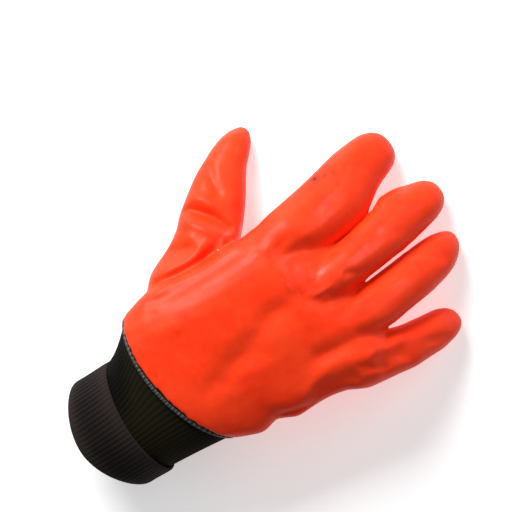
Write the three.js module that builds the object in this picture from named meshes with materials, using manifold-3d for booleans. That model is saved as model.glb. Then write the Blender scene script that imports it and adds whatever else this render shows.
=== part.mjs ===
import * as THREE from 'three';
import { mergeVertices } from 'three/addons/utils/BufferGeometryUtils.js';
import Module from 'manifold-3d';

// A PVC coated work glove for the right hand, lying palm down on a flat surface.
// +Y runs from the wrist to the fingertips, +X to the little finger, +Z out of the back of the hand.
// Millimetres and degrees. The wrist line of the coating is at y = 0 until the last lines.

// Driving sizes of the coated hand
const wall = 2.2;
const palm = {
  width: 130, length: 126, thick: 46, height: 46.5, nose: 34, blunt: 2, taper: 0.22, square: 2.5,
};
const digits = {
  index: {
    width: 43, reach: 117.5, thick: 35, knuckle: 47, tip: 8.3, nose: 20, blunt: 2.4, lean: -4.6,
    root: { across: -0.246, along: 0.635 },
  },
  middle: {
    width: 32, reach: 125.5, thick: 36, knuckle: 47.5, tip: 8.0, nose: 20, blunt: 2.4, lean: -1.8,
    root: { across: 0.047, along: 0.635 },
  },
  ring: {
    width: 31, reach: 115.5, thick: 34, knuckle: 46, tip: 6.6, nose: 20, blunt: 2, lean: -1.2,
    root: { across: 0.281, along: 0.635 },
  },
  little: {
    width: 30, reach: 91.7, thick: 32, knuckle: 42.5, tip: 6.3, nose: 16, blunt: 2, lean: 11.5,
    root: { across: 0.432, along: 0.595 },
  },
  thumb: {
    width: 43, reach: 126.4, thick: 40, knuckle: 38, tip: 6.9, nose: 22, blunt: 2, lean: 27,
    root: { across: -0.367, along: 0.125 },
  },
};
const turned = { thumb: true };
const digitSquare = 2.2;
const foldDepth = 3;
// Shares of the palm's length between which the folds begin, past the wrist
const foldStart = { none: 0.11, full: 0.24 };

// Driving sizes of the knit wrist
const knit = 2.4;
const clearance = 0.35;
const cuff = {
  width: 75, length: 57.5, thick: 52, tuck: 12, lead: 6, square: 2.15, endSquare: 1.85,
  ribPairs: 38, ribDepth: 0.7,
};
const roll = { width: 2.9, thick: 1.5, shoulder: 0.6, gap: 1 };
const band = { start: 0.624, thick: 2.3, lip: 1.5, lipShare: 0.6, hem: 5.5, round: 3, rest: 7 };

// How finely each loft is cut: points around it, and steps along its body and its nose.
// The inside of the palm has one point for each pair of ribs, as the knit tucked into it has.
const fine = {
  palm: [38, 13, 4],
  digit: [18, 13, 4],
  innerPalm: [cuff.ribPairs, 8, 3],
  innerDigit: [12, 5, 3],
  innerThumb: [12, 8, 3],
};

// Palm sections from the wrist line to the crotches of the fingers.
// at, left, right: shares of the palm's length and width; mid: share of its height; deep: of its
// thickness; tilt: degrees; crown: how far the back of the section runs towards the wrist, and
// skew: how far its little finger side runs towards the fingers, as shares of the palm's length.
const palmSections = [
  { at: 0.028, left: -0.412, right: 0.388, mid: 0.968, deep: 1.02, tilt: 18, crown: 0.072, skew: 0.052 },
  { at: 0.10, left: -0.426, right: 0.418, mid: 0.985, deep: 1.0, tilt: 14, crown: 0.05, skew: 0.036 },
  { at: 0.19, left: -0.432, right: 0.449, mid: 1.0, deep: 0.99, tilt: 8, crown: 0.02, skew: 0.015 },
  { at: 0.262, left: -0.42, right: 0.442, mid: 1.006, deep: 0.99, tilt: 5, crown: 0.008, skew: 0.006 },
  { at: 0.36, left: -0.399, right: 0.494, mid: 1.012, deep: 0.995, tilt: 2, crown: 0, skew: 0 },
  { at: 0.44, left: -0.386, right: 0.498, mid: 1.015, deep: 1.0, tilt: 0, crown: 0, skew: 0 },
  { at: 0.56, left: -0.374, right: 0.512, mid: 1.015, deep: 0.98, tilt: 0, crown: 0, skew: 0 },
  { at: 0.68, left: -0.366, right: 0.553, mid: 1.01, deep: 0.94, tilt: 0, crown: 0, skew: 0 },
  { at: 0.80, left: -0.372, right: 0.592, mid: 0.99, deep: 0.88, tilt: 0, crown: 0, skew: -0.01 },
  { at: 0.90, left: -0.372, right: 0.602, mid: 0.965, deep: 0.80, tilt: 0, crown: 0, skew: -0.045 },
  { at: 1.00, left: -0.345, right: 0.565, mid: 0.93, deep: 0.70, tilt: 0, crown: 0, skew: -0.08 },
];

// Sections of each digit from its root inside the palm to its tip.
// at: share of its reach; left, right: shares of its width, from its own axis;
// mid: centre height between the tip (0) and the knuckle (1); deep: share of its thickness.
const digitSections = {
  index: [
    { at: 0, left: -0.240, right: 0.400, mid: 1.02, deep: 0.76 },
    { at: 0.17, left: -0.342, right: 0.553, mid: 1.00, deep: 1.02 },
    { at: 0.30, left: -0.351, right: 0.609, mid: 0.95, deep: 0.98 },
    { at: 0.425, left: -0.351, right: 0.621, mid: 0.82, deep: 0.95 },
    { at: 0.553, left: -0.363, right: 0.628, mid: 0.655, deep: 0.92 },
    { at: 0.638, left: -0.381, right: 0.623, mid: 0.53, deep: 0.90 },
    { at: 0.681, left: -0.388, right: 0.600, mid: 0.46, deep: 0.89 },
    { at: 0.723, left: -0.391, right: 0.517, mid: 0.39, deep: 0.87 },
    { at: 0.766, left: -0.381, right: 0.479, mid: 0.32, deep: 0.85 },
    { at: 0.851, left: -0.363, right: 0.395, mid: 0.175, deep: 0.82 },
    { at: 1.00, left: -0.330, right: 0.414, mid: 0.0, deep: 0.80 },
  ],
  middle: [
    { at: 0, left: -0.400, right: 0.400, mid: 1.00, deep: 0.82 },
    { at: 0.16, left: -0.450, right: 0.484, mid: 1.00, deep: 1.00 },
    { at: 0.28, left: -0.425, right: 0.494, mid: 0.97, deep: 0.97 },
    { at: 0.40, left: -0.420, right: 0.497, mid: 0.88, deep: 0.93 },
    { at: 0.52, left: -0.436, right: 0.512, mid: 0.735, deep: 0.89 },
    { at: 0.637, left: -0.489, right: 0.513, mid: 0.555, deep: 0.86 },
    { at: 0.717, left: -0.575, right: 0.508, mid: 0.415, deep: 0.83 },
    { at: 0.797, left: -0.528, right: 0.487, mid: 0.27, deep: 0.80 },
    { at: 0.843, left: -0.466, right: 0.470, mid: 0.20, deep: 0.79 },
    { at: 1.00, left: -0.387, right: 0.455, mid: 0.0, deep: 0.75 },
  ],
  ring: [
    { at: 0, left: -0.420, right: 0.400, mid: 1.02, deep: 0.84 },
    { at: 0.17, left: -0.505, right: 0.490, mid: 1.00, deep: 1.00 },
    { at: 0.30, left: -0.483, right: 0.513, mid: 0.95, deep: 0.97 },
    { at: 0.433, left: -0.460, right: 0.538, mid: 0.83, deep: 0.93 },
    { at: 0.563, left: -0.448, right: 0.532, mid: 0.66, deep: 0.89 },
    { at: 0.693, left: -0.431, right: 0.535, mid: 0.46, deep: 0.86 },
    { at: 0.78, left: -0.415, right: 0.528, mid: 0.31, deep: 0.83 },
    { at: 0.866, left: -0.395, right: 0.490, mid: 0.175, deep: 0.80 },
    { at: 1.00, left: -0.410, right: 0.400, mid: 0.0, deep: 0.76 },
  ],
  little: [
    { at: 0, left: -0.420, right: 0.240, mid: 1.12, deep: 0.74 },
    { at: 0.164, left: -0.540, right: 0.510, mid: 1.00, deep: 1.00 },
    { at: 0.273, left: -0.560, right: 0.535, mid: 0.97, deep: 0.98 },
    { at: 0.436, left: -0.510, right: 0.550, mid: 0.82, deep: 0.91 },
    { at: 0.545, left: -0.435, right: 0.572, mid: 0.675, deep: 0.86 },
    { at: 0.654, left: -0.362, right: 0.530, mid: 0.50, deep: 0.83 },
    { at: 0.763, left: -0.330, right: 0.510, mid: 0.31, deep: 0.80 },
    { at: 0.82, left: -0.330, right: 0.460, mid: 0.22, deep: 0.78 },
    { at: 1.00, left: -0.350, right: 0.390, mid: 0.0, deep: 0.74 },
  ],
  thumb: [
    { at: 0, left: -0.060, right: 0.620, mid: 1.26, deep: 0.50 },
    { at: 0.06, left: -0.180, right: 0.720, mid: 1.15, deep: 0.76 },
    { at: 0.128, left: -0.228, right: 0.790, mid: 1.03, deep: 0.93 },
    { at: 0.248, left: -0.184, right: 0.802, mid: 0.90, deep: 0.96 },
    { at: 0.368, left: -0.172, right: 0.790, mid: 0.80, deep: 0.91 },
    { at: 0.448, left: -0.232, right: 0.760, mid: 0.72, deep: 0.87 },
    { at: 0.512, left: -0.256, right: 0.707, mid: 0.64, deep: 0.83 },
    { at: 0.592, left: -0.274, right: 0.633, mid: 0.54, deep: 0.78 },
    { at: 0.672, left: -0.288, right: 0.544, mid: 0.425, deep: 0.72 },
    { at: 0.760, left: -0.265, right: 0.421, mid: 0.29, deep: 0.66 },
    { at: 0.832, left: -0.246, right: 0.330, mid: 0.185, deep: 0.62 },
    { at: 1.00, left: -0.190, right: 0.310, mid: 0.0, deep: 0.56 },
  ],
};

// Knit tube sections below the coating, down to the folded end.
// at: share of the cuff's length; left, right: shares of its width; mid: share of the palm's height;
// deep: share of the cuff's thickness; tilt: degrees; crown: share of its length;
// skew: slope of its little finger side towards the fingers.
const cuffSections = [
  { at: 0.20, left: -0.607, right: 0.613, mid: 0.899, deep: 0.905, tilt: 18, crown: 0.113, skew: 0.05 },
  { at: 0.374, left: -0.533, right: 0.568, mid: 0.828, deep: 0.925, tilt: 18, crown: 0.066, skew: -0.03 },
  { at: 0.617, left: -0.455, right: 0.540, mid: 0.727, deep: 0.945, tilt: 19, crown: 0.028, skew: -0.10 },
  { at: 0.81, left: -0.453, right: 0.520, mid: 0.580, deep: 0.985, tilt: 22, crown: 0.066, skew: -0.05 },
  { at: 1.00, left: -0.478, right: 0.517, mid: 0.474, deep: 1.02, tilt: 24, crown: 0.138, skew: 0 },
  { at: 1.19, left: -0.480, right: 0.517, mid: 0.428, deep: 1.02, tilt: 24, crown: 0.145, skew: 0 },
];

// Folds, dents and soft ridges on the back of the glove, each along a short line.
// on: whose width and length the shares follow; spread: share of the palm's width;
// push: share of the fold depth, above zero for a ridge.
const folds = [
  { on: 'palm', name: 'index valley', from: [-0.077, 1.0], to: [-0.169, 0.833], spread: 0.038, push: -0.8 },
  { on: 'palm', name: 'ring valley', from: [0.169, 0.99], to: [0.138, 0.79], spread: 0.038, push: -0.8 },
  { on: 'palm', name: 'little valley', from: [0.385, 0.833], to: [0.323, 0.65], spread: 0.042, push: -0.7 },
  { on: 'palm', name: 'upper hollow', from: [0.038, 0.595], to: [0.077, 0.397], spread: 0.055, push: -0.6 },
  { on: 'palm', name: 'lower hollow', from: [0.077, 0.397], to: [0.138, 0.10], spread: 0.055, push: -0.6 },
  { on: 'palm', name: 'index swell', from: [-0.215, 0.12], to: [-0.215, 0.7], spread: 0.09, push: 0.6 },
  { on: 'palm', name: 'thumb band', from: [-0.331, 0.278], to: [-0.331, 0.06], spread: 0.045, push: -0.5 },
  { on: 'palm', name: 'ulnar dent', from: [0.462, 0.556], to: [0.508, 0.73], spread: 0.038, push: -0.6 },
  { on: 'palm', name: 'heel crease', from: [0.423, 0.30], to: [0.477, 0.42], spread: 0.032, push: -0.7 },
  { on: 'palm', name: 'little swell', from: [0.431, 0.778], to: [0.554, 1.19], spread: 0.032, push: 0.6 },
  { on: 'little', name: 'little dent', from: [-0.02, 0.50], to: [0.06, 0.54], spread: 0.038, push: -0.7 },
  { on: 'ring', name: 'ring hollow', from: [-0.35, 0.77], to: [0.08, 0.86], spread: 0.042, push: -0.5 },
  { on: 'thumb', name: 'mound dent', from: [-0.04, 0.255], to: [-0.04, 0.333], spread: 0.040, push: -1.2 },
  { on: 'thumb', name: 'root ridge', from: [0.46, 0.444], to: [-0.02, 0.077], spread: 0.030, push: 0.6 },
  { on: 'thumb', name: 'root groove', from: [0.42, 0.355], to: [0.08, 0.11], spread: 0.030, push: -0.9 },
  { on: 'thumb', name: 'web crease', from: [0.50, 0.544], to: [-0.10, 0.511], spread: 0.030, push: -1.0 },
  { on: 'thumb', name: 'web ridge', from: [0.37, 0.444], to: [-0.15, 0.40], spread: 0.032, push: 0.8 },
];

// Sections

const spline = (rows, columns) => {
  const places = rows.map((row) => row.at);
  const values = rows.flatMap((row) => columns.map((column) => row[column]));
  const curve = new THREE.CubicInterpolant(places, values, columns.length);
  return (at) => {
    const found = curve.evaluate(at);
    return Object.fromEntries(columns.map((column, k) => [column, found[k]]));
  };
};

const up = new THREE.Vector3(0, 0, 1);

const tilted = (along, degrees) => {
  const angle = THREE.MathUtils.degToRad(degrees);
  return up.clone().multiplyScalar(Math.cos(angle)).addScaledVector(along, -Math.sin(angle));
};

// A nose shrinks the sections like the end of an ellipsoid, blunter above a power of 2
const noseShare = (past, blunt) => Math.max(0, 1 - Math.min(past, 1) ** blunt) ** (1 / blunt);

const palmRow = spline(palmSections, ['left', 'right', 'mid', 'deep', 'tilt', 'crown', 'skew']);
const palmAlong = new THREE.Vector3(0, 1, 0);

const palmSection = (distance, inset) => {
  const row = palmRow(distance / palm.length);
  const body = palm.length - palm.nose;
  const past = Math.max(0, (distance - body) / (palm.nose - inset));
  const share = noseShare(past, palm.blunt);
  const centre = new THREE.Vector3(
    (row.left + row.right) / 2 * palm.width, distance, row.mid * palm.height);
  return {
    centre,
    side: new THREE.Vector3(1, 0, 0),
    along: palmAlong,
    up: tilted(palmAlong, row.tilt),
    halfWidth: ((row.right - row.left) / 2 * palm.width - inset) * (1 - palm.taper * (1 - share)),
    halfThick: (row.deep * palm.thick / 2 - inset) * share,
    crown: row.crown * palm.length,
    skew: row.skew * palm.length / (palm.width / 2),
    square: palm.square,
  };
};

const digitFrame = (name) => {
  const digit = digits[name];
  const angle = THREE.MathUtils.degToRad(digit.lean);
  const root = new THREE.Vector3(digit.root.across * palm.width, digit.root.along * palm.length, 0);
  // The thumb's sections turn with it, while a finger's stay square to the hand and only shift
  if (turned[name]) {
    const along = new THREE.Vector3(-Math.sin(angle), Math.cos(angle), 0);
    const side = new THREE.Vector3(Math.cos(angle), Math.sin(angle), 0);
    return { root, along, side };
  }
  return { root, along: new THREE.Vector3(Math.tan(angle), 1, 0), side: new THREE.Vector3(1, 0, 0) };
};

const digitSection = (name) => {
  const digit = digits[name];
  const { root, along, side } = digitFrame(name);
  const digitRow = spline(digitSections[name], ['left', 'right', 'mid', 'deep']);
  const body = digit.reach - digit.nose;
  return (distance, inset) => {
    const row = digitRow(distance / digit.reach);
    const past = Math.max(0, (distance - body) / (digit.nose - inset));
    const share = noseShare(past, digit.blunt);
    const centre = root.clone().addScaledVector(along, distance);
    centre.addScaledVector(side, (row.left + row.right) / 2 * digit.width);
    centre.z = digit.tip + row.mid * (digit.knuckle - digit.tip);
    return {
      centre,
      side,
      along,
      up,
      halfWidth: ((row.right - row.left) / 2 * digit.width - inset) * share,
      halfThick: (row.deep * digit.thick / 2 - inset) * share,
      crown: 0,
      skew: 0,
      square: digitSquare,
    };
  };
};

// Folds

const foldLines = folds.map((fold) => {
  const base = fold.on === 'palm' ? null : digitFrame(fold.on);
  const place = ([across, along]) => {
    if (!base) {
      return new THREE.Vector3(across * palm.width, along * palm.length, 0);
    }
    const digit = digits[fold.on];
    return base.root.clone().addScaledVector(base.along, along * digit.reach)
      .addScaledVector(base.side, across * digit.width);
  };
  const line = new THREE.Line3(place(fold.from), place(fold.to));
  return { line, spread: fold.spread * palm.width, push: fold.push * foldDepth };
});

const foldPush = (point, facing) => {
  const flat = new THREE.Vector3(point.x, point.y, 0);
  const near = new THREE.Vector3();
  let push = 0;
  for (const fold of foldLines) {
    fold.line.closestPointToPoint(flat, true, near);
    push += fold.push * Math.exp(-((near.distanceTo(flat) / fold.spread) ** 2));
  }
  const clearOfWrist = THREE.MathUtils.smoothstep(
    point.y / palm.length, foldStart.none, foldStart.full);
  return push * Math.max(0, facing) ** 0.5 * clearOfWrist;
};

// Rings and lofts

const power = (value, square) => Math.sign(value) * Math.abs(value) ** (2 / square);

const ringPoint = (section, angle, grow) => {
  const across = (section.halfWidth + grow) * power(Math.cos(angle), section.square);
  const rise = (section.halfThick + grow) * power(Math.sin(angle), section.square);
  const facing = Math.sin(angle);
  const shift = section.skew * across - section.crown * Math.max(0, facing) ** 2;
  return section.centre.clone()
    .addScaledVector(section.side, across)
    .addScaledVector(section.up, rise)
    .addScaledVector(section.along, shift);
};

const turnOf = (k, count) => (k / count) * 2 * Math.PI;

const loftRing = (section, count, floor) => {
  const points = [];
  for (let k = 0; k < count; k += 1) {
    const angle = turnOf(k, count);
    const point = ringPoint(section, angle, 0);
    point.z = Math.max(point.z + foldPush(point, Math.sin(angle)), floor);
    points.push(point);
  }
  return points;
};

const centreOf = (ring) => ring.reduce((sum, point) => sum.add(point), new THREE.Vector3())
  .divideScalar(ring.length);

const meshOf = (points, faces) => {
  const geometry = new THREE.BufferGeometry();
  geometry.setAttribute('position', new THREE.Float32BufferAttribute(points.flatMap((p) => p.toArray()), 3));
  geometry.setIndex(faces.flat());
  return geometry;
};

// A closed body through open rings, with a fan of faces at each end
const loftBody = (rings) => {
  const count = rings[0].length;
  const points = rings.flat();
  const faces = [];
  for (let r = 0; r + 1 < rings.length; r += 1) {
    for (let k = 0; k < count; k += 1) {
      const here = r * count + k;
      const beside = r * count + ((k + 1) % count);
      faces.push([here, here + count, beside], [beside, here + count, beside + count]);
    }
  }
  const last = (rings.length - 1) * count;
  const first = points.push(centreOf(rings[0])) - 1;
  const pole = points.push(centreOf(rings.at(-1))) - 1;
  for (let k = 0; k < count; k += 1) {
    const next = (k + 1) % count;
    faces.push([first, k, next], [pole, last + next, last + k]);
  }
  return meshOf(points, faces);
};

// The last ring of a nose stops just short of its pole
const noseEnd = 0.985;
const sliver = 0.004;

// Distances along a loft: even steps on its body, closer ones round its nose
const stations = (start, reach, nose, inset, steps, noseSteps) => {
  const list = [];
  const body = reach - nose;
  for (let k = 0; k < steps; k += 1) {
    list.push(start + (body - start) * k / steps);
  }
  for (let k = 0; k <= noseSteps; k += 1) {
    list.push(body + (nose - inset) * noseEnd * Math.sin((k / noseSteps) * Math.PI / 2));
  }
  return list;
};

const wasm = await Module();
wasm.setup();

const solid = (geometry, weld = 1e-4) => {
  const merged = mergeVertices(geometry, weld);
  return new wasm.Manifold(new wasm.Mesh({
    numProp: 3,
    vertProperties: new Float32Array(merged.attributes.position.array),
    triVerts: new Uint32Array(merged.index.array),
  }));
};

const geometryOf = (manifold) => {
  const mesh = manifold.getMesh();
  const geometry = new THREE.BufferGeometry();
  geometry.setAttribute('position', new THREE.BufferAttribute(mesh.vertProperties, 3));
  geometry.setIndex(new THREE.BufferAttribute(mesh.triVerts, 1));
  return geometry;
};

// Coated hand: the union of palm and digits, less the same forms set in by the wall

const wristLine = palmSections[0].at * palm.length;

const palmLoft = (inset, mouth, [count, steps, noseSteps]) => {
  const tucked = wristLine + cuff.tuck;
  const places = [...mouth, wristLine, ...stations(tucked, palm.length, palm.nose, inset, steps, noseSteps)];
  const rings = places.map((distance) => loftRing(palmSection(distance, inset), count, inset));
  return solid(loftBody(rings));
};

const digitLoft = (name, inset, [count, steps, noseSteps]) => {
  const digit = digits[name];
  const section = digitSection(name);
  const rings = stations(0, digit.reach, digit.nose, inset, steps, noseSteps)
    .map((distance) => loftRing(section(distance, inset), count, inset));
  return solid(loftBody(rings));
};

const handForm = (inset, mouth, palmFine, digitFine) => Object.keys(digits).reduce(
  (form, name) => form.add(digitLoft(name, inset, digitFine(name))), palmLoft(inset, mouth, palmFine));

const coatedHand = () => {
  const outer = handForm(0, [], fine.palm, () => fine.digit);
  const innerFine = (name) => (turned[name] ? fine.innerThumb : fine.innerDigit);
  const inner = handForm(wall, [wristLine - wall], fine.innerPalm, innerFine);
  // Where faces of two lofts lie almost flush, the cut leaves slivers without volume, which go
  const [shell] = solid(geometryOf(outer.subtract(inner)), sliver).decompose()
    .sort((a, b) => b.volume() - a.volume());
  return geometryOf(shell);
};

// Knit wrist: rings that follow the coating's inside first, then the tube's own sections

const cuffRow = (() => {
  const columns = ['x', 'z', 'halfWidth', 'halfThick', 'tilt', 'crown', 'skew'];
  const inset = wall + clearance;
  const tucked = [cuff.tuck + cuff.lead, cuff.tuck, 0].map((above) => {
    const section = palmSection(wristLine + above, inset);
    const row = palmRow((wristLine + above) / palm.length);
    return {
      at: -above,
      x: section.centre.x,
      z: section.centre.z,
      halfWidth: section.halfWidth,
      halfThick: section.halfThick,
      tilt: row.tilt,
      crown: section.crown,
      skew: section.skew,
    };
  });
  const free = cuffSections.map((row) => ({
    at: row.at * cuff.length,
    x: (row.left + row.right) / 2 * cuff.width,
    z: row.mid * palm.height,
    halfWidth: (row.right - row.left) / 2 * cuff.width,
    halfThick: row.deep * cuff.thick / 2,
    tilt: row.tilt,
    crown: row.crown * cuff.length,
    skew: row.skew,
  }));
  return spline([...tucked, ...free], columns);
})();

// How far under a knit surface the floor side of the band lies
const bandFace = clearance + band.thick;
const downShare = (below) => Math.min(below / cuff.length, 1);

const knitRing = (below, grow, { count, ribbed }) => {
  const row = cuffRow(below);
  const section = {
    centre: new THREE.Vector3(row.x, wristLine - below, row.z),
    side: new THREE.Vector3(1, 0, 0),
    along: palmAlong,
    up: tilted(palmAlong, row.tilt),
    halfWidth: row.halfWidth,
    halfThick: row.halfThick,
    crown: row.crown,
    skew: row.skew,
    square: below <= 0 ? palm.square : cuff.square + (cuff.endSquare - cuff.square) * downShare(below),
  };
  const points = [];
  for (let k = 0; k < count; k += 1) {
    const rib = ribbed && k % 2 === 1 ? -cuff.ribDepth : 0;
    const point = ringPoint(section, turnOf(k, count), grow + rib);
    point.z = Math.max(point.z, bandFace - grow);
    points.push(point);
  }
  return points;
};

// Faces between two rings, where one may have half the points of the other
const zip = (a, b, startA, startB) => {
  const faces = [];
  if (a === b) {
    for (let k = 0; k < a; k += 1) {
      const next = (k + 1) % a;
      faces.push([startA + k, startA + next, startB + k], [startA + next, startB + next, startB + k]);
    }
    return faces;
  }
  const few = Math.min(a, b);
  for (let k = 0; k < few; k += 1) {
    const next = (k + 1) % few;
    const many = [2 * k, 2 * k + 1, (2 * k + 2) % (2 * few)];
    if (a > b) {
      const [p, q, r] = many.map((m) => startA + m);
      faces.push([p, q, startB + k], [q, startB + next, startB + k], [q, r, startB + next]);
    } else {
      const [p, q, r] = many.map((m) => startB + m);
      faces.push([startA + k, q, p], [startA + k, startA + next, q], [startA + next, r, q]);
    }
  }
  return faces;
};

// A closed tube wall through rings that come back to the first one
const tubeWall = (rings) => {
  const starts = [];
  let total = 0;
  for (const ring of rings) {
    starts.push(total);
    total += ring.length;
  }
  const faces = rings.flatMap((ring, r) => {
    const next = (r + 1) % rings.length;
    return zip(ring.length, rings[next].length, starts[r], starts[next]);
  });
  return meshOf(rings.flat(), faces);
};

const smoothRing = { count: cuff.ribPairs, ribbed: false };
const plainRing = { count: cuff.ribPairs * 2, ribbed: false };
const ribbedRing = { count: cuff.ribPairs * 4, ribbed: true };

const bandStart = band.start * cuff.length;
const tubeEnd = cuff.length - band.hem;

const seamRoll = () => {
  const top = clearance;
  const seat = clearance;
  return tubeWall([
    knitRing(top, seat, plainRing),
    knitRing(top + roll.shoulder, seat + roll.thick, ribbedRing),
    knitRing(top + roll.width - roll.shoulder, seat + roll.thick, ribbedRing),
    knitRing(top + roll.width, seat, plainRing),
  ]);
};

const wristRib = () => tubeWall([
  knitRing(-cuff.tuck, 0, smoothRing),
  knitRing(0, 0, smoothRing),
  knitRing(clearance, 0, plainRing),
  knitRing(roll.width + roll.gap, 0, ribbedRing),
  knitRing((roll.width + bandStart) / 2, 0, ribbedRing),
  knitRing(bandStart, 0, ribbedRing),
  knitRing(tubeEnd, 0, plainRing),
  knitRing(tubeEnd, -knit, smoothRing),
  knitRing(bandStart, -knit, smoothRing),
  knitRing(0, -knit, smoothRing),
  knitRing(-cuff.tuck, -knit, smoothRing),
]);

// The round folded end, from the band's face in to the tube's inside.
// past: share of the band's rounding beyond the cuff's length; out: share of the way back to the face.
const bandEnd = [
  { past: 0, out: 1 },
  { past: 0.75, out: 0.71 },
  { past: 1, out: 0.31 },
  { past: 0.4, out: 0 },
];

const turnedBand = () => tubeWall([
  knitRing(bandStart, clearance, plainRing),
  knitRing(bandStart, clearance + band.thick * band.lipShare, ribbedRing),
  knitRing(bandStart + band.lip, bandFace, ribbedRing),
  knitRing(cuff.length - band.rest, bandFace, ribbedRing),
  ...bandEnd.map(({ past, out }) => knitRing(
    cuff.length + past * band.round, out * (knit + bandFace) - knit, out === 1 ? ribbedRing : plainRing)),
  knitRing(tubeEnd + clearance, -knit, plainRing),
  knitRing(tubeEnd + clearance, clearance, plainRing),
]);

// Materials and assembly

const finish = (color, roughness) => new THREE.MeshStandardMaterial({ color, roughness, metalness: 0 });
const pieces = [
  ['coated_hand', coatedHand(), finish(0xfa3e1e, 0.35)],
  ['seam_roll', seamRoll(), finish(0x1a1a14, 0.8)],
  ['wrist_rib', wristRib(), finish(0x19160c, 0.85)],
  ['turned_band', turnedBand(), finish(0x231c1b, 0.95)],
];

const glove = new THREE.Group();
for (const [name, geometry, material] of pieces) {
  geometry.computeVertexNormals();
  const mesh = new THREE.Mesh(geometry, material);
  mesh.name = name;
  glove.add(mesh);
}

// The origin is under the middle of the glove, on the surface that it lies on
const box = new THREE.Box3().setFromObject(glove);
const middle = box.getCenter(new THREE.Vector3());
glove.position.set(-middle.x, -middle.y, -box.min.z);
glove.updateMatrixWorld(true);

export default glove;
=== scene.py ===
import math

import bmesh
import bpy
import numpy as np
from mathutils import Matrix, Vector
from mathutils.bvhtree import BVHTree


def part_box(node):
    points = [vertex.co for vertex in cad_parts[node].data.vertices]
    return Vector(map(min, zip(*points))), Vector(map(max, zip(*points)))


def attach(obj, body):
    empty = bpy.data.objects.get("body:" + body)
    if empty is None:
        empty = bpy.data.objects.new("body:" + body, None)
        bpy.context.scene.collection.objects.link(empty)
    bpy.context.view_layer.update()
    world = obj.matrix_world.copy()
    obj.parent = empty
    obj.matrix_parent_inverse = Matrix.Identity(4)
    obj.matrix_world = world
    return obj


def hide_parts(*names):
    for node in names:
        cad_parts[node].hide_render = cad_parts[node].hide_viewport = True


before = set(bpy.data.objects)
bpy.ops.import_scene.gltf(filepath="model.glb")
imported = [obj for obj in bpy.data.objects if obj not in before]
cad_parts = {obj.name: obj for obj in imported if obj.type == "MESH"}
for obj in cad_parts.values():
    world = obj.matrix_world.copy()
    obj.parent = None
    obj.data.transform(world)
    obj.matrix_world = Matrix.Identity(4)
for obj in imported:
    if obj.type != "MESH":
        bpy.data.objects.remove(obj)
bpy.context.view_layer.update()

mm = 0.001

# The hand's own origin is the middle of the wrist line, where the folds are measured from
originFromLeft = 107.231 * mm
originFromCuff = 13.773 * mm
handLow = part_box("coated_hand")[0]
handOrigin = Vector((handLow.x + originFromLeft, handLow.y + originFromCuff, 0.0))
weldGap = 0.004 * mm


def handPoint(x, y, z):
    return Vector((handOrigin.x + x * mm, handOrigin.y + y * mm, z * mm))


# The photo looks from straight above, and so does the camera
view = {
    "lookAt": (-33.0, 85.4, 20.0),   # the hand's point at the middle of the picture, in mm
    "turn": math.radians(53.0),      # how far the camera is turned round its line of sight
    "width": 324.4,                  # width of the picture at the look-at height, in mm
    "pixels": 512,
    "lens": 180.0,
    "sensor": 36.0,
    "clipEnd": 20.0,
}
view["distance"] = view["width"] * view["lens"] / view["sensor"]


def picturePoint(u, v, height):
    # The hand's point in mm that lies at a pixel of the photo, for a surface at that height
    lookX, lookY, lookZ = view["lookAt"]
    pixel = view["width"] / view["pixels"] * (1.0 - (height - lookZ) / view["distance"])
    right = (u - view["pixels"] / 2) * pixel
    up = (view["pixels"] / 2 - v) * pixel
    cos, sin = math.cos(view["turn"]), math.sin(view["turn"])
    return (lookX + cos * right - sin * up, lookY + sin * right + cos * up)


# Mesh helpers

def meshObject(name, bm):
    mesh = bpy.data.meshes.new(name)
    bm.to_mesh(mesh)
    bm.free()
    piece = bpy.data.objects.new(name, mesh)
    bpy.context.scene.collection.objects.link(piece)
    return piece


def mergedCopy(node):
    bm = bmesh.new()
    bm.from_mesh(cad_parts[node].data)
    bmesh.ops.remove_doubles(bm, verts=bm.verts, dist=weldGap)
    return bm


def applyModifiers(piece):
    depsgraph = bpy.context.evaluated_depsgraph_get()
    done = bpy.data.meshes.new_from_object(piece.evaluated_get(depsgraph))
    piece.modifiers.clear()
    old = piece.data
    piece.data = done
    done.name = piece.name
    bpy.data.meshes.remove(old)


def readVectors(mesh, what):
    values = np.empty(len(mesh.vertices) * 3, dtype=np.float32)
    mesh.vertices.foreach_get(what, values)
    return values.reshape(-1, 3).astype(np.float64)


def writeCoords(mesh, coords):
    mesh.vertices.foreach_set("co", coords.astype(np.float32).ravel())
    mesh.update()


def neighbourMean(mesh, values, steps):
    # Each step replaces every vertex's value by the mean of its neighbours' values
    ends = np.empty(len(mesh.edges) * 2, dtype=np.int32)
    mesh.edges.foreach_get("vertices", ends)
    ends = ends.reshape(-1, 2)
    both = np.concatenate((ends[:, 0], ends[:, 1]))
    other = np.concatenate((ends[:, 1], ends[:, 0]))
    count = np.bincount(both, minlength=len(values))
    mean = values.copy()
    for _ in range(steps):
        columns = [np.bincount(both, weights=column[other], minlength=len(values)) for column in mean.T]
        mean = np.stack(columns, axis=1) / count[:, None]
    return mean


def smoothStep(values, low, high):
    share = np.clip((values - low) / (high - low), 0.0, 1.0)
    return share * share * (3.0 - 2.0 * share)


# Shader helpers

class Signal:
    # A socket that takes part in sums and products, each of which adds its Math node
    def __init__(self, recipe, socket):
        self.recipe = recipe
        self.socket = socket

    def maths(self, operation, first, second):
        return self.recipe.add("ShaderNodeMath", {"operation": operation}, {0: first, 1: second})

    def __add__(self, other):
        return self.maths("ADD", self, other)

    def __radd__(self, other):
        return self.maths("ADD", other, self)

    def __sub__(self, other):
        return self.maths("SUBTRACT", self, other)

    def __rsub__(self, other):
        return self.maths("SUBTRACT", other, self)

    def __mul__(self, other):
        return self.maths("MULTIPLY", self, other)

    def __rmul__(self, other):
        return self.maths("MULTIPLY", other, self)


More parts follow.
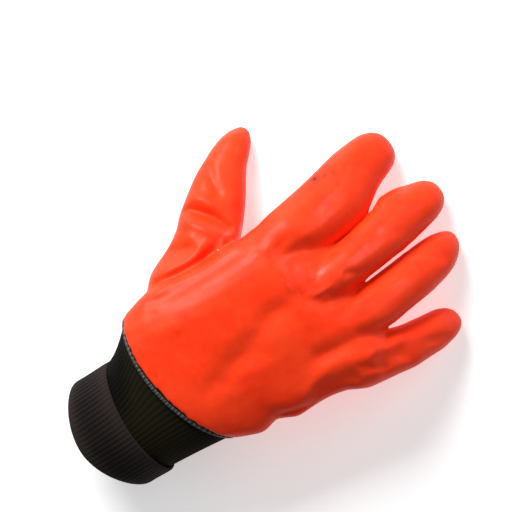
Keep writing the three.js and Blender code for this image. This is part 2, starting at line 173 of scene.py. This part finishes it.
class Recipe:
    # One material: its nodes all come from add, and finish fills in the shader
    def __init__(self, name):
        self.material = bpy.data.materials.new(name)
        self.material.use_nodes = True
        self.tree = self.material.node_tree
        self.tree.nodes.clear()
        self.coords = self.add("ShaderNodeTexCoord", out="Object")

    def add(self, kind, settings=None, sockets=None, out=0):
        node = self.tree.nodes.new(kind)
        for key, value in (settings or {}).items():
            setattr(node, key, value)
        for key, value in (sockets or {}).items():
            if isinstance(value, Signal):
                self.tree.links.new(value.socket, node.inputs[key])
            else:
                node.inputs[key].default_value = value
        return Signal(self, node.outputs[out]) if node.outputs else None

    def noise(self, scale, detail, roughness):
        return self.add("ShaderNodeTexNoise", {}, {
            "Vector": self.coords, "Scale": scale, "Detail": detail, "Roughness": roughness})

    def stripes(self, direction, scale, distortion, detailScale):
        return self.add("ShaderNodeTexWave", {"wave_type": "BANDS", "bands_direction": direction}, {
            "Vector": self.coords, "Scale": scale, "Distortion": distortion,
            "Detail": 2.0, "Detail Scale": detailScale})

    def ramp(self, value, low, high, bottom=0.0, top=1.0):
        return self.add("ShaderNodeMapRange", {"interpolation_type": "SMOOTHSTEP"}, {
            "Value": value, "From Min": low, "From Max": high, "To Min": bottom, "To Max": top})

    def blend(self, factor, first, second):
        return self.add("ShaderNodeMix", {"data_type": "RGBA"}, {0: factor, 6: first, 7: second}, out=2)

    def bump(self, height, distance, strength, normal=None):
        sockets = {"Height": height, "Distance": distance, "Strength": strength}
        if normal:
            sockets["Normal"] = normal
        return self.add("ShaderNodeBump", {}, sockets)

    def distance(self, place):
        sockets = {0: self.coords, 1: place}
        return self.add("ShaderNodeVectorMath", {"operation": "DISTANCE"}, sockets, out="Value")

    def attribute(self, name):
        return self.add("ShaderNodeAttribute", {"attribute_name": name}, {}, out="Fac")

    def finish(self, sockets):
        shader = self.add("ShaderNodeBsdfPrincipled", {}, sockets)
        self.add("ShaderNodeOutputMaterial", {}, {"Surface": shader})
        return self.material


# Coated hand

shell = {
    "voxel": 1.2 * mm,
    "smoothing": 20,
    "smoothFactor": 0.5,
    "keep": 0.68,                # share of the remade faces that stays
    "thicken": 0.7 * mm,         # how far the lining's skin steps into the hollow
    "rimGap": 2.6 * mm,          # vertices this near to the seam step towards it
    "rimStretch": 1.1 * mm,
    "rays": 8,
    "rayTurn": 3.0,              # degrees
    "rayStep": 0.02 * mm,
    "mostCrossings": 24,
    "hollowRays": 5,             # a lining face has this many rays that leave the hollow
    "freeRays": 2,               # and no more than this many that meet nothing
    "lift": 0.1 * mm,
    "facingWorth": 1.5 * mm,
    "strayReach": 16,
}

# All in mm: how far neighbouring fingers part while the surface is remade, and where that fades
fingerParting = {"half": 1.0, "reach": 9.0, "edge": 0.4, "before": 3.0, "after": 4.0, "tail": 12.0}

# Lines along which neighbouring fingers lie side by side, from the crotch outwards, and how far
# each gap closes again
fingerGaps = [
    ([(-9.2, 128), (-9.9, 140), (-10.9, 150), (-12.5, 160), (-15.3, 168)], 1.0),
    ([(20.9, 126), (21.0, 140), (21.0, 152)], 0.6),
]

# Creases, dents and ridges on the back, read from the photo: the height of the surface there in mm,
# pixels of the photo along the fold, spread and push in mm
handFolds = {
    "indexValley": (48, [(350, 229), (340, 238), (329, 245), (318, 246), (305, 245), (293, 251),
        (283, 262)], 5.0, -0.6),
    "indexValleyDeep": (48, [(336, 241), (327, 246)], 2.6, -1.4),
    "indexKnuckle": (58, [(290, 226), (305, 232)], 8.0, 1.3),
    "webSwell": (58, [(250, 244), (268, 252)], 4.5, 1.0),
    "webHollow": (58, [(283, 240), (276, 250)], 3.5, -0.7),
    "ringValley": (46, [(385, 264), (370, 281), (352, 293), (335, 300), (323, 304)], 3.4, -1.4),
    "ringBranch": (46, [(375, 268), (360, 273), (347, 273)], 2.8, -1.3),
    "ringRidge": (48, [(372, 294), (352, 302), (334, 309)], 2.2, 0.8),
    "littleValley": (42, [(382, 328), (366, 332), (350, 340), (333, 350), (318, 358)], 4.4, -1.2),
    "knuckleFold": (60, [(289, 287), (299, 289), (307, 294), (313, 296), (321, 292), (329, 287)], 1.8, 0.8),
    "knuckleShade": (60, [(295, 294), (306, 300), (318, 299)], 3.4, -0.5),
    "knuckleLineA": (60, [(304, 254), (309, 264), (310, 278)], 1.6, 0.35),
    "knuckleLineB": (60, [(294, 262), (297, 281)], 1.8, 0.4),
    "backHollow": (62, [(300, 295), (283, 307), (268, 322), (255, 338), (240, 358), (222, 378),
        (204, 394)], 6.5, -1.35),
    "thumbTipSwell": (20, [(222, 137), (231, 133)], 4.0, 0.7),
    "thumbTipCrease": (30, [(208, 166), (212, 180), (218, 193)], 3.4, -2.2),
    "thumbUpperSwell": (32, [(192, 197), (203, 200), (212, 206)], 3.6, 1.3),
    "thumbCrease": (34, [(177, 212), (192, 211), (206, 215), (219, 222), (228, 229)], 3.3, -3.6),
    "thumbLowerSwell": (36, [(180, 222), (195, 225), (208, 230)], 3.2, 1.0),
    "thumbBump": (38, [(190, 238), (197, 243)], 3.2, 0.8),
    "thumbDent": (40, [(170, 251), (180, 252), (187, 250)], 4.0, -3.3),
    "thumbRidge": (44, [(150, 279), (166, 270), (184, 262), (198, 254), (206, 243)], 2.8, 1.3),
    "thumbGroove": (46, [(156, 284), (180, 273), (200, 262), (213, 251)], 2.6, -1.9),
    "edgeRidge": (50, [(141, 300), (165, 287), (190, 275), (208, 264), (224, 254), (240, 243)], 2.4, 1.1),
    "edgeGroove": (54, [(150, 304), (175, 294), (200, 280), (222, 266), (240, 253)], 3.0, -0.9),
    "webStreakA": (42, [(217, 251), (223, 241), (229, 232)], 1.5, 0.8),
    "webStreakB": (44, [(224, 248), (232, 243), (239, 239)], 1.4, 0.6),
    "cuffSwell": (52, [(138, 338), (158, 334), (176, 326)], 4.5, 0.9),
    "cuffHollow": (52, [(136, 318), (152, 314)], 3.5, -0.8),
    "cuffRidge": (60, [(176, 357), (190, 372)], 1.4, 0.35),
    "littleRidge": (34, [(308, 392), (316, 376), (330, 364), (345, 358), (360, 353), (380, 345),
        (400, 336), (420, 327), (443, 318)], 4.2, 0.9),
    "littleBridge": (32, [(372, 351), (384, 346), (396, 340)], 4.4, 1.9),
    "ulnarHollow": (30, [(306, 404), (318, 390), (332, 382), (346, 376)], 4.8, -0.9),
    "littleDentA": (28, [(396, 355), (410, 357)], 3.6, -1.1),
    "littleDentB": (26, [(350, 371), (354, 376)], 3.2, -0.8),
    "littleDentC": (28, [(430, 341), (446, 337)], 3.0, -1.0),
    "littleBand": (26, [(358, 364), (384, 366)], 2.4, -0.7),
    "littleSwell": (26, [(362, 374), (392, 368)], 2.6, 0.6),
}
# Folds and dents: points from the wrist's middle, spread and push, all in mm
handDents = {
    "ulnarStripA": ([(56, 40), (60, 49), (62.5, 56)], 1.8, -1.2),
    "ulnarStripB": ([(60.5, 38), (64, 47), (66, 55)], 1.6, 0.9),
    "ringHollow": ([(27, 169), (40, 180)], 3.6, -0.9),
    "ringDent": ([(29, 148), (33, 158)], 3.0, -0.6),
    "middleDent": ([(0, 150), (8, 166)], 3.4, -0.6),
    "indexFlat": ([(-44, 120), (-45, 150)], 5.0, -0.7),
    "indexBump": ([(-24, 128), (-26, 150)], 4.0, 0.7),
    "ulnarFall": ([(46, 8), (42, 44), (38, 74)], 24.0, -3.2),
}
# Where the coating is glossier: height, pixels of the photo and spread
glossLines = {
    "knuckle": (58, [(292, 262), (300, 286), (325, 284)], 9.0),
    "indexMiddle": (48, [(348, 160), (330, 190), (322, 214)], 6.0),
    "thumbBase": (42, [(236, 232), (218, 248)], 5.0),
    "thumbEnd": (22, [(236, 134), (232, 142)], 5.0),
    "ringMiddle": (38, [(412, 262), (396, 282)], 5.0),
    "middleMiddle": (42, [(404, 196), (372, 244), (348, 266)], 5.0),
}
# Where the outline itself steps in: height, pixels of the photo, spread, and the step across the flat
edgeSteps = {
    "ulnarEdge": (18, [(276, 420), (296, 416), (318, 404), (345, 393)], 7.0, (-1.5, 1.1)),
    "middleBulge": (30, [(380, 196), (398, 189)], 5.0, (-1.0, 0.8)),
    "ringUnder": (26, [(392, 316), (412, 300), (430, 286)], 5.0, (0.8, -0.6)),
    "littleTop": (24, [(412, 318), (428, 311), (446, 307)], 5.0, (-0.6, 0.45)),
}
# Fine ripples above the seam, in mm
handRipples = {
    "low": 4.0, "high": 27.0, "fadeAlong": 5.0,
    "left": -34.0, "right": 22.0, "fadeAcross": 12.0,
    "pitch": 4.6, "push": 0.16, "bend": 1.6, "bendPitch": 14.0, "seed": 3,
}
# Soft unevenness on the back and the palm side, in mm. On the palm side it fades in between the
# two heights of palmFloor.
handUnevenness = {
    "broad": 0.38, "broadPitch": 17.0, "broadSeed": 1,
    "fine": 0.13, "finePitch": 6.5, "fineSeed": 2,
    "palmBroad": 0.5, "palmFine": 0.2, "palmFloor": (1.5, 6.0),
}
# The folds fade in over this stretch above the wrist line, in mm
foldFade = (-4.0, 22.0)
# Any large uneven numbers do here: they scatter the grid's values
scatter = {"x": 127.1, "y": 311.7, "seed": 74.7, "gain": 43758.5453}


def lineDistance(coords, points):
    # Distance on the flat, in mm, from each vertex to a line through points
    best = np.full(len(coords), 1e9)
    for (ax, ay), (bx, by) in zip(points, points[1:]):
        start = np.array((ax, ay), dtype=np.float64)
        step = np.array((bx, by), dtype=np.float64) - start
        share = np.clip(((coords[:, :2] - start) @ step) / (step @ step), 0.0, 1.0)
        gap = coords[:, :2] - (start + share[:, None] * step)
        best = np.minimum(best, np.hypot(gap[:, 0], gap[:, 1]))
    return best


def pictureDistance(coords, height, pixels):
    # The same distance, to a line that is read from the photo
    return lineDistance(coords, [picturePoint(u, v, height) for u, v in pixels])


def handCoords(mesh):
    coords = readVectors(mesh, "co")
    return (coords - np.array(handOrigin)) / mm


def partFingers(mesh, sign):
    # Moves the facing sides of neighbouring fingers apart, or back together
    coords = handCoords(mesh)
    p = fingerParting
    for points, closes in fingerGaps:
        places = np.array(points, dtype=np.float64)
        crotch, end = places[0, 1], places[-1, 1]
        aside = coords[:, 0] - np.interp(coords[:, 1], places[:, 1], places[:, 0])
        along = smoothStep(coords[:, 1], crotch - p["before"], crotch + p["after"])
        along *= 1.0 - smoothStep(coords[:, 1], end, end + p["tail"])
        push = np.tanh(aside / p["edge"]) * np.exp(-(aside / p["reach"]) ** 2)
        share = 1.0 if sign > 0 else -closes
        coords[:, 0] += share * p["half"] * push * along
    writeCoords(mesh, coords * mm + np.array(handOrigin))


def crossings(tree, start, ray):
    count = 0
    place = tree.ray_cast(start, ray)[0]
    while place is not None and count < shell["mostCrossings"]:
        count += 1
        place = tree.ray_cast(place + ray * shell["rayStep"], ray)[0]
    return count


def splitFaces(bm):
    # A ray that starts in the hollow leaves it through one wall, so it meets two skins, and four more
    # for each other finger it passes. A face with many free rays is outside, also at a solid end.
    tree = BVHTree.FromBMesh(bm)
    angles = np.radians(np.arange(shell["rays"]) * 360.0 / shell["rays"] + shell["rayTurn"])
    rays = [Vector((math.cos(angle), 0.0, math.sin(angle))) for angle in angles]
    inner = []
    for face in bm.faces:
        start = face.calc_center_median() + face.normal * shell["lift"]
        counts = [crossings(tree, start, ray) for ray in rays]
        leaving = sum(count % 4 == 2 for count in counts)
        inner.append(leaving >= shell["hollowRays"] and counts.count(0) <= shell["freeRays"])
    return inner


def skinTree(bm, inner, wanted):
    coords = [v.co.copy() for v in bm.verts]
    faces = [[v.index for v in face.verts] for face, flag in zip(bm.faces, inner) if flag == wanted]
    return BVHTree.FromPolygons(coords, faces)


def skinScore(tree, place, normal):
    # Lower is nearer, where a face looking the same way counts as nearer than one looking back
    _, towards, _, gap = tree.find_nearest(place)
    return gap - shell["facingWorth"] * normal.dot(towards)


def cellValue(x, y, seed):
    # A steady number between 0 and 1 for each grid point
    value = np.sin(x * scatter["x"] + y * scatter["y"] + seed * scatter["seed"]) * scatter["gain"]
    return value - np.floor(value)


def softNoise(x, y, seed):
    # Smooth noise between -1 and 1 on a grid of unit cells
    ix, iy = np.floor(x), np.floor(y)
    fx, fy = x - ix, y - iy
    ux, uy = fx * fx * (3 - 2 * fx), fy * fy * (3 - 2 * fy)
    low = cellValue(ix, iy, seed) * (1 - ux) + cellValue(ix + 1, iy, seed) * ux
    high = cellValue(ix, iy + 1, seed) * (1 - ux) + cellValue(ix + 1, iy + 1, seed) * ux
    return 2.0 * (low * (1 - uy) + high * uy) - 1.0


def ripples(x, y):
    r = handRipples
    share = smoothStep(y, r["low"], r["low"] + r["fadeAlong"])
    share *= 1 - smoothStep(y, r["high"] - r["fadeAlong"], r["high"])
    share *= smoothStep(x, r["left"], r["left"] + r["fadeAcross"])
    share *= 1 - smoothStep(x, r["right"] - r["fadeAcross"], r["right"])
    bend = r["bend"] * softNoise(x / r["bendPitch"], y / r["bendPitch"], r["seed"])
    return r["push"] * share * np.sin(2 * math.pi * (y + bend) / r["pitch"])


def foldHand(mesh, facing):
    # facing: 1 on the back of the glove, 0 at its sides, -1 on the palm side
    coords = handCoords(mesh)
    fade = smoothStep(coords[:, 1], *foldFade)
    push = np.zeros(len(coords))
    for height, pixels, spread, depth in handFolds.values():
        push += depth * np.exp(-(pictureDistance(coords, height, pixels) / spread) ** 2)
    for points, spread, depth in handDents.values():
        push += depth * np.exp(-(lineDistance(coords, points) / spread) ** 2)
    for height, pixels, spread, step in edgeSteps.values():
        share = np.exp(-(pictureDistance(coords, height, pixels) / spread) ** 2) * fade
        coords[:, :2] += share[:, None] * np.array(step)
    x, y = coords[:, 0], coords[:, 1]
    u = handUnevenness
    broad = softNoise(x / u["broadPitch"], y / u["broadPitch"], u["broadSeed"])
    fine = softNoise(x / u["finePitch"], y / u["finePitch"], u["fineSeed"])
    push += ripples(x, y) + (u["broad"] * broad + u["fine"] * fine)
    coords[:, 2] += push * np.sqrt(np.clip(facing, 0.0, 1.0)) * fade
    # The palm side is finished plainly, with only a soft unevenness
    under = np.clip(-facing, 0.0, 1.0) * fade * smoothStep(coords[:, 2], *u["palmFloor"])
    coords[:, 2] += under * (u["palmBroad"] * broad + u["palmFine"] * fine)
    coords[:, 2] = np.maximum(coords[:, 2], 0.0)
    writeCoords(mesh, coords * mm + np.array(handOrigin))


def glossiness(mesh):
    coords = handCoords(mesh)
    gloss = np.zeros(len(coords))
    for height, pixels, spread in glossLines.values():
        gloss = np.maximum(gloss, np.exp(-(pictureDistance(coords, height, pixels) / spread) ** 2))
    return gloss


def stretchRim(bm):
    # The softening draws the hand's edge back, so it first steps towards the seam
    seam = mergedCopy("seam_roll")
    seamTree = BVHTree.FromBMesh(seam)
    seam.free()
    for vertex in bm.verts:
        place, _, _, gap = seamTree.find_nearest(vertex.co)
        if gap < shell["rimGap"]:
            vertex.co += (place - vertex.co).normalized() * shell["rimStretch"]


def setAttribute(mesh, name, values):
    layer = mesh.attributes.new(name, "FLOAT", "POINT")
    layer.data.foreach_set("value", values.astype(np.float32))


def buildCoatedHand():
    bm = mergedCopy("coated_hand")
    bm.normal_update()
    inner = splitFaces(bm)
    outerTree, innerTree = skinTree(bm, inner, False), skinTree(bm, inner, True)
    # The lining's skin steps into the hollow, so that the remade wall has no holes
    for vertex in bm.verts:
        away = sum((f.normal for f in vertex.link_faces if inner[f.index]), Vector())
        vertex.co += away.normalized() * shell["thicken"]
    stretchRim(bm)
    piece = meshObject("coatedHand", bm)
    partFingers(piece.data, 1)
    remesh = piece.modifiers.new("even", "REMESH")
    remesh.mode = "VOXEL"
    remesh.voxel_size = shell["voxel"]
    smooth = piece.modifiers.new("soft", "SMOOTH")
    smooth.factor = shell["smoothFactor"]
    smooth.iterations = shell["smoothing"]
    lighten = piece.modifiers.new("lighten", "DECIMATE")
    lighten.ratio = shell["keep"]
    applyModifiers(piece)
    mesh = piece.data
    normals = readVectors(mesh, "normal")
    lining = []
    for place, normal in zip(readVectors(mesh, "co"), normals):
        place, normal = Vector(place), Vector(normal)
        lining.append(float(skinScore(innerTree, place, normal) < skinScore(outerTree, place, normal)))
    # Single strays take their neighbours' label
    lining = neighbourMean(mesh, np.array(lining)[:, None], shell["strayReach"])[:, 0]
    lining = (lining > 0.5).astype(np.float64)
    facing = normals[:, 2] * np.where(lining > 0.5, -1.0, 1.0)
    foldHand(mesh, facing)
    partFingers(mesh, -1)
    setAttribute(mesh, "inner", lining)
    setAttribute(mesh, "gloss", glossiness(mesh))
    mesh.shade_smooth()
    print("coatedHand:", len(mesh.vertices), "vertices,", sum(inner), "lining faces")
    return piece


# Each noise is its scale, detail and roughness
coating = {
    "lightOrange": (1.0, 0.055, 0.011, 1.0),
    "deepOrange": (0.96, 0.038, 0.006, 1.0),
    "smudge": (0.16, 0.012, 0.004, 1.0),
    "roughness": 0.46,
    "roughnessLess": 0.05,
    "roughnessMore": 0.07,
    "specular": 0.12,
    "ior": 1.5,
    "coat": 0.04,
    "glossCoat": 0.55,
    "coatRoughness": 0.22,
    "cloudNoise": (38.0, 3.0, 0.55),
    "mottleNoise": (220.0, 4.0, 0.6),
    "grainNoise": (900.0, 3.0, 0.6),
    "peelNoise": (420.0, 2.0, 0.45),
    "pitNoise": (1400.0, 2.0, 0.5),
    "beadNoise": (260.0, 3.0, 0.6),
    "cloudShare": 0.75,              # the rest of the tint is mottle
    "tintRange": (0.34, 0.66),
    "roughRange": (0.3, 0.7),
    "glossRange": (0.35, 0.6),
    "glossLeast": 0.4,
    "peelShare": 0.7,                # the rest of the relief is pits
    "beadHeight": 2.5,
    "bumpDepth": 0.10 * mm,
    "bumpStrength": 0.8,
}
backing = {
    "jersey": (0.62, 0.58, 0.50, 1.0),
    "fuzzShade": (0.50, 0.46, 0.39, 1.0),
    "roughness": 0.95,
    "fuzzNoise": (1500.0, 3.0, 0.7),
    "stitchStripes": ("X", 130.0, 3.0, 2.0),    # direction, scale, distortion, detail scale
    "stitchShare": 0.6,              # the rest of the relief is fuzz
    "bumpDepth": 0.35 * mm,
    "bumpStrength": 0.9,
}
# Dark marks on the index finger: place and reach in mm, and strength
scuffs = [((-49.5, 143.5), 4.6, 1.0), ((-47.5, 150.0), 3.2, 0.6), ((-46.0, 155.5), 2.8, 0.5)]
# Shares of a mark's reach: its ragged edge, its dark core and where it ends
scuffShape = {"ragged": 1.6, "core": 0.15, "end": 0.75}
# A ray from this height in mm finds the mark's place on the back
rayHeight = 200.0


def orangeCoating(mesh):
    r = Recipe("orangeCoating")
    c = coating
    inner = r.attribute("inner")
    gloss = r.attribute("gloss")
    mottle = r.noise(*c["mottleNoise"])
    cloudy = r.noise(*c["cloudNoise"]) * c["cloudShare"] + mottle * (1.0 - c["cloudShare"])
    colour = r.blend(r.ramp(cloudy, *c["tintRange"]), c["deepOrange"], c["lightOrange"])
    grain = r.noise(*c["grainNoise"])
    skin = BVHTree.FromPolygons([v.co for v in mesh.vertices], [list(p.vertices) for p in mesh.polygons])
    for (x, y), reach, amount in scuffs:
        centre = skin.ray_cast(handPoint(x, y, rayHeight), Vector((0, 0, -1)))[0]
        away = r.distance(centre) + (grain - 0.5) * (reach * scuffShape["ragged"] * mm)
        core, end = reach * scuffShape["core"] * mm, reach * scuffShape["end"] * mm
        colour = r.blend(r.ramp(away, core, end, amount, 0.0), colour, c["smudge"])
    stitches = r.stripes(*backing["stitchStripes"])
    fuzz = r.noise(*backing["fuzzNoise"])
    colour = r.blend(inner, colour, r.blend(fuzz, backing["fuzzShade"], backing["jersey"]))
    smoothest = c["roughness"] - c["roughnessLess"]
    roughest = c["roughness"] + c["roughnessMore"]
    rough = r.ramp(mottle, *c["roughRange"], smoothest, roughest)
    rough = rough * (1 - inner) + inner * backing["roughness"]
    coat = r.ramp(mottle, *c["glossRange"], c["glossLeast"], 1.0) * gloss * c["glossCoat"] + c["coat"]
    texture = r.noise(*c["peelNoise"]) * c["peelShare"] + r.noise(*c["pitNoise"]) * (1.0 - c["peelShare"])
    beads = r.noise(*c["beadNoise"]) * gloss * c["beadHeight"]
    outerBump = r.bump((texture + beads) * (1 - inner), c["bumpDepth"], c["bumpStrength"])
    weave = (stitches * backing["stitchShare"] + fuzz * (1.0 - backing["stitchShare"])) * inner
    bump = r.bump(weave, backing["bumpDepth"], backing["bumpStrength"], outerBump)
    return r.finish({
        "Base Color": colour, "Roughness": rough, "Normal": bump,
        "Specular IOR Level": c["specular"], "IOR": c["ior"],
        "Coat Weight": coat, "Coat Roughness": c["coatRoughness"]})


# Knit pieces

knit = {
    "levels": 2,
    "stitch": 1.1 * mm,
    "courseDistortion": 1.2,
    "courseDetailScale": 3.0,
    "sheenRoughness": 0.5,
    "meanSteps": 14,
    "crestSpan": 0.5 * mm,
    "seamRibs": 84,
    "seamFlatness": 1.3,
    "mostFold": math.radians(60),    # two triangles become one face up to this angle
    "mostSkew": math.radians(70),
    "yarnNoise": (1300.0, 4.0, 0.65),
    "patchNoise": (90.0, 3.0, 0.6),
    "bumpDepth": 0.32 * mm,
    "bumpStrength": 0.9,
    "shadeYarn": 0.3,
    "shadeCourses": 0.06,
    "shadePatches": 0.14,
    "paintedRibShade": 0.5,
    "shadeRange": (0.28, 0.74),
    "reliefYarn": 0.45,
    "reliefCourses": 0.25,
    "reliefCrest": 0.5,
}
# Each look's dark and pale are the ends of its yarn tone. The rib tops take the pale end and the valleys
# take the dark end, which is painted light and painted shade. The seam's pale bluish tone on its rib tops
# is painted highlight.
knitLooks = {
    "seamKnit": {
        "dark": (0.0060, 0.0065, 0.0060, 1.0), "pale": (0.0620, 0.0700, 0.0780, 1.0),
        "roughness": 0.45, "sheen": 0.04, "specular": 0.4},
    "ribKnit": {
        "dark": (0.0016, 0.0013, 0.0006, 1.0), "pale": (0.0115, 0.0094, 0.0034, 1.0),
        "roughness": 0.80, "sheen": 0.0, "specular": 0.07},
    "bandKnit": {
        "dark": (0.0050, 0.0034, 0.0030, 1.0), "pale": (0.0210, 0.0145, 0.0125, 1.0),
        "roughness": 0.95, "sheen": 0.05, "specular": 0.08},
}


def ribCrests(mesh):
    # How far each vertex stands above or below the knit's mean surface
    coords = readVectors(mesh, "co")
    mean = neighbourMean(mesh, coords, knit["meanSteps"])
    height = ((coords - mean) * readVectors(mesh, "normal")).sum(axis=1)
    return np.clip(0.5 + height / knit["crestSpan"], 0.0, 1.0)


def seamRibs(mesh):
    # Even small ribs round the roll
    coords = readVectors(mesh, "co")
    away = coords - (coords.max(axis=0) + coords.min(axis=0)) / 2
    angle = np.arctan2(away[:, 2] * knit["seamFlatness"], away[:, 0])
    return 0.5 + 0.5 * np.sin(angle * knit["seamRibs"])


def buildKnit(node, name):
    bm = mergedCopy(node)
    bmesh.ops.join_triangles(
        bm, faces=bm.faces, cmp_seam=False, cmp_sharp=False, cmp_uvs=False, cmp_vcols=False,
        cmp_materials=False, angle_face_threshold=knit["mostFold"],
        angle_shape_threshold=knit["mostSkew"])
    piece = meshObject(name, bm)
    rounding = piece.modifiers.new("rounding", "SUBSURF")
    rounding.levels = knit["levels"]
    rounding.render_levels = knit["levels"]
    applyModifiers(piece)
    piece.data.shade_smooth()
    # The crest value gives the ribs their relief, and it also paints their tops paler and their grooves
    # darker: painted light and painted shade
    crests = seamRibs(piece.data) if node == "seam_roll" else ribCrests(piece.data)
    setAttribute(piece.data, "crest", crests)
    print(name + ":", len(piece.data.vertices), "vertices")
    return piece


def knitCloth(name):
    look = knitLooks[name]
    r = Recipe(name)
    # A wave texture's half wave is pi / 20 long at scale 1, and here it is one stitch long
    scale = math.pi / 20.0 / knit["stitch"]
    courses = r.stripes("Y", scale, knit["courseDistortion"], knit["courseDetailScale"])
    yarn = r.noise(*knit["yarnNoise"])
    patches = r.noise(*knit["patchNoise"])
    crest = r.attribute("crest")
    # The crest term paints the rib tops paler and the rib valleys darker: painted light and painted shade
    # on the ribs. Yarn, courses and patches are the yarn's own tone.
    shade = yarn * knit["shadeYarn"] + courses * knit["shadeCourses"]
    shade = shade + patches * knit["shadePatches"] + crest * knit["paintedRibShade"]
    colour = r.blend(r.ramp(shade, *knit["shadeRange"]), look["dark"], look["pale"])
    weave = courses * knit["reliefCourses"] + yarn * knit["reliefYarn"] + crest * knit["reliefCrest"]
    return r.finish({
        "Base Color": colour, "Roughness": look["roughness"],
        "Normal": r.bump(weave, knit["bumpDepth"], knit["bumpStrength"]),
        "Sheen Weight": look["sheen"], "Sheen Roughness": knit["sheenRoughness"],
        "Specular IOR Level": look["specular"]})


# Studio

studio = {
    "floorSize": 4.0,
    "floorLight": (0.93, 0.93, 0.935, 1.0),
    "floorShade": (0.90, 0.90, 0.905, 1.0),
    "floorHaze": (3.0, 2.0, 0.5),
    "floorRoughness": 0.9,
    "floorSpecular": 0.1,
    "floorGlowColour": (1.0, 1.0, 1.0, 1.0),
    "floorGlow": 0.45,               # keeps the shadow on the floor pale
    "airColour": (0.95, 0.97, 1.0, 1.0),
    "airStrength": 0.17,
}
# Area lights: place from the look-at point, where the picture's left is -X -Y and its top is -X +Y,
# then size and power
softboxes = {
    "keySoftbox": ((-0.88, 0.12, 0.66), (0.62, 0.5), 19.0),
    "fillSoftbox": ((0.10, 1.20, 1.05), (1.0, 0.8), 5.0),
}


def buildCamera():
    data = bpy.data.cameras.new("camera")
    data.lens = view["lens"]
    data.sensor_width = view["sensor"]
    data.clip_end = view["clipEnd"]
    camera = bpy.data.objects.new("camera", data)
    target = handPoint(*view["lookAt"])
    camera.location = target + Vector((0, 0, view["distance"] * mm))
    camera.rotation_euler = (0.0, 0.0, view["turn"])
    bpy.context.scene.collection.objects.link(camera)
    bpy.context.scene.camera = camera


def buildFloor():
    s = studio
    bm = bmesh.new()
    bmesh.ops.create_grid(bm, x_segments=2, y_segments=2, size=s["floorSize"] / 2)
    floor = meshObject("floor", bm)
    r = Recipe("paleFloor")
    colour = r.blend(r.noise(*s["floorHaze"]), s["floorShade"], s["floorLight"])
    floor.data.materials.append(r.finish({
        "Base Color": colour, "Roughness": s["floorRoughness"], "Specular IOR Level": s["floorSpecular"],
        "Emission Color": s["floorGlowColour"], "Emission Strength": s["floorGlow"]}))


def areaLight(name, place, size, power):
    data = bpy.data.lights.new(name, "AREA")
    data.shape = "RECTANGLE"
    data.size, data.size_y = size
    data.energy = power
    lamp = bpy.data.objects.new(name, data)
    target = handPoint(*view["lookAt"])
    lamp.location = target + Vector(place)
    lamp.rotation_euler = (target - lamp.location).to_track_quat("-Z", "Y").to_euler()
    bpy.context.scene.collection.objects.link(lamp)


def buildLights():
    for name, (place, size, power) in softboxes.items():
        areaLight(name, place, size, power)
    world = bpy.data.worlds.new("studioAir")
    world.use_nodes = True
    background = world.node_tree.nodes["Background"]
    background.inputs["Color"].default_value = studio["airColour"]
    background.inputs["Strength"].default_value = studio["airStrength"]
    bpy.context.scene.world = world
    bpy.context.scene.view_settings.view_transform = "Standard"


# Assembly

buildCamera()

hand = buildCoatedHand()
hand.data.materials.append(orangeCoating(hand.data))
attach(hand, "root")
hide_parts("coated_hand")

knitPieces = [
    ("seam_roll", "seamRoll", "seam_knit", "seamKnit"),
    ("wrist_rib", "wristRib", "rib_knit", "ribKnit"),
    ("turned_band", "turnedBand", "band_knit", "bandKnit"),
]
for node, name, slot, cloth in knitPieces:
    piece = buildKnit(node, name)
    piece.data.materials.append(knitCloth(cloth))
    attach(piece, "root")
    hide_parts(node)

buildFloor()
buildLights()
print("studio ready")
